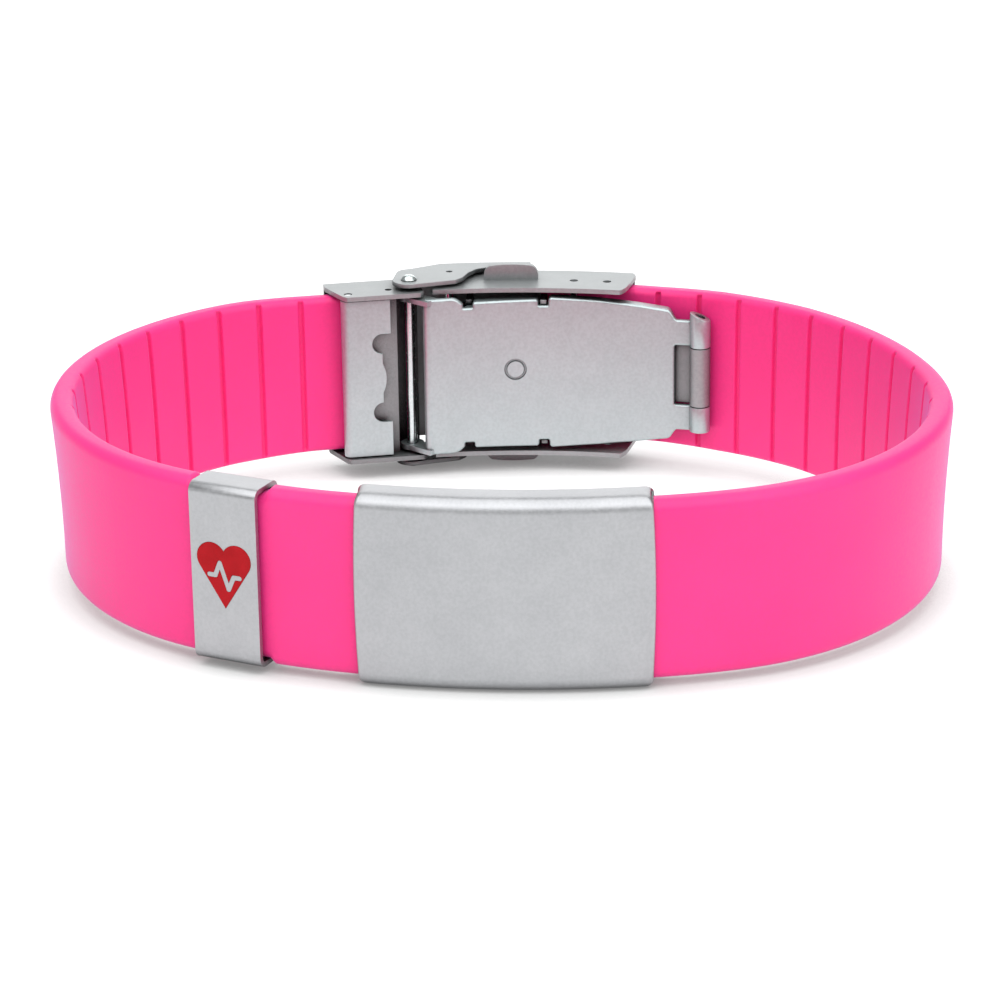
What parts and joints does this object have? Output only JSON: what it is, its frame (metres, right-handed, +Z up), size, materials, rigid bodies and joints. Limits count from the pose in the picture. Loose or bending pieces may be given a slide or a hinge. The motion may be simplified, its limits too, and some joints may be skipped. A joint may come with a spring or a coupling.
{
  "type": "medical alert bracelet",
  "caption": "Closed silicone wrist band with a curved blank steel ID plate, an enamelled heart slider and a folding clasp with strap clamp, cover and flip lock.",
  "frame": {"origin": "centre of the object's footprint on the ground it stands on, strap on edge", "axes": "+X along the long side of the loop, -Y towards the ID plate, +Y towards the clasp, +Z up across the strap's width"},
  "size_m": [0.0813, 0.0638, 0.0202],
  "materials": {
    "silicone": "matt",
    "satin_steel": "satin",
    "polished_pin": "polished",
    "red_enamel": "gloss"
  },
  "bodies": {
    "bracelet": {"strap": "silicone", "id_plate": "satin_steel", "slider": "satin_steel", "enamel": "red_enamel", "clamp_box": "satin_steel", "flap_pin": "polished_pin", "catch_pin": "polished_pin", "inner_blade": "satin_steel", "hinge_pin": "polished_pin", "outer_blade": "satin_steel", "cover": "satin_steel", "cover_pin": "polished_pin", "strap_bar": "polished_pin"},
    "flap": {"flap": "satin_steel"},
    "flip_lock": {"flip_lock": "satin_steel"}
  },
  "joints": [
    {"name": "flap_hinge", "type": "hinge", "parent": "bracelet", "child": "flap", "pos_m": [-0.01625, 0.02287, 0.01012], "axis": [0, 0, -1], "range_deg": [0, 100]},
    {"name": "flip_lock_hinge", "type": "hinge", "parent": "bracelet", "child": "flip_lock", "pos_m": [-0.01054, 0.02536, 0.01012], "axis": [0, 0, 1], "range_deg": [0, 95]}
  ]
}
